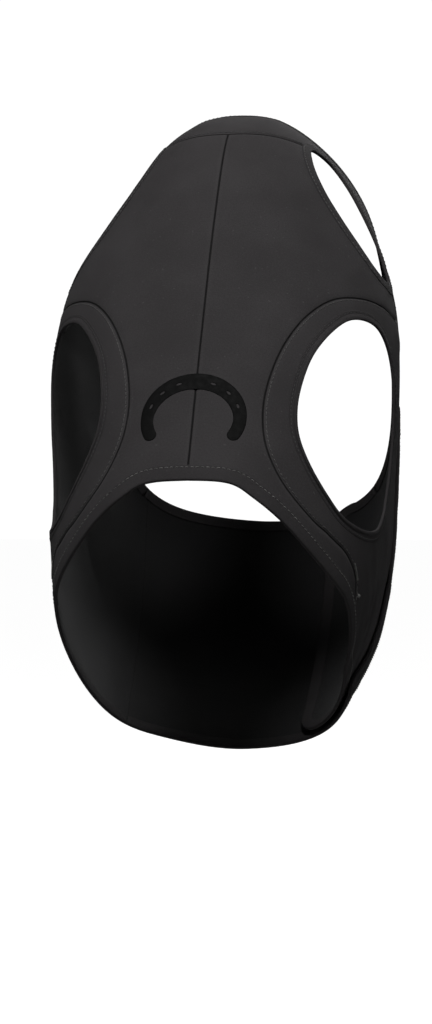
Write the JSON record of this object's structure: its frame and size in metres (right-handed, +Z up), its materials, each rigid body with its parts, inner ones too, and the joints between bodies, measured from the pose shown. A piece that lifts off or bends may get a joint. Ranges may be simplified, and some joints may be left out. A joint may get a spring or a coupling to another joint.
{
  "type": "fly mask",
  "caption": "Stretch fly mask for a horse's face, with open eye and ear holes, bound edges and a hook-and-loop flap that closes under the jaw.",
  "frame": {"origin": "middle of the horse's head inside the mask, level with the eyes, on the mask's plane of symmetry", "axes": "-Y is the way the horse faces, +X its left and +Z up, with the line of the face 35 degrees off upright"},
  "size_m": [0.2208, 0.348, 0.4187],
  "materials": {
    "stretch_fabric": "matte",
    "binding_elastic": "matte",
    "seam_tape": "matte",
    "loop_fabric": "matte",
    "hook_nylon": "satin",
    "print_ink": "satin"
  },
  "bodies": {
    "mask": {"face_panel_left": "stretch_fabric", "face_panel_right": "stretch_fabric", "poll_band": "stretch_fabric", "side_panel_left": "stretch_fabric", "side_panel_right": "stretch_fabric", "eye_binding_left": "binding_elastic", "eye_binding_right": "binding_elastic", "ear_binding_left": "binding_elastic", "ear_binding_right": "binding_elastic", "nose_binding": "binding_elastic", "rear_binding": "binding_elastic", "margin_binding": "binding_elastic", "loop_tape": "loop_fabric", "centre_seam_tape": "seam_tape", "crown_seam_tape": "seam_tape", "side_seam_tape_left": "seam_tape", "side_seam_tape_right": "seam_tape", "temple_seam_tape_left": "seam_tape", "temple_seam_tape_right": "seam_tape", "forehead_print": "print_ink"},
    "flap": {"jaw_flap": "stretch_fabric", "flap_binding": "binding_elastic", "hook_tape": "hook_nylon"}
  },
  "joints": [
    {"name": "flap_hinge", "type": "hinge", "parent": "mask", "child": "flap", "pos_m": [-0.0792, 0.0931, -0.0925], "axis": [-0.0862, 0.7748, 0.6263], "range_deg": [0, 100]}
  ]
}
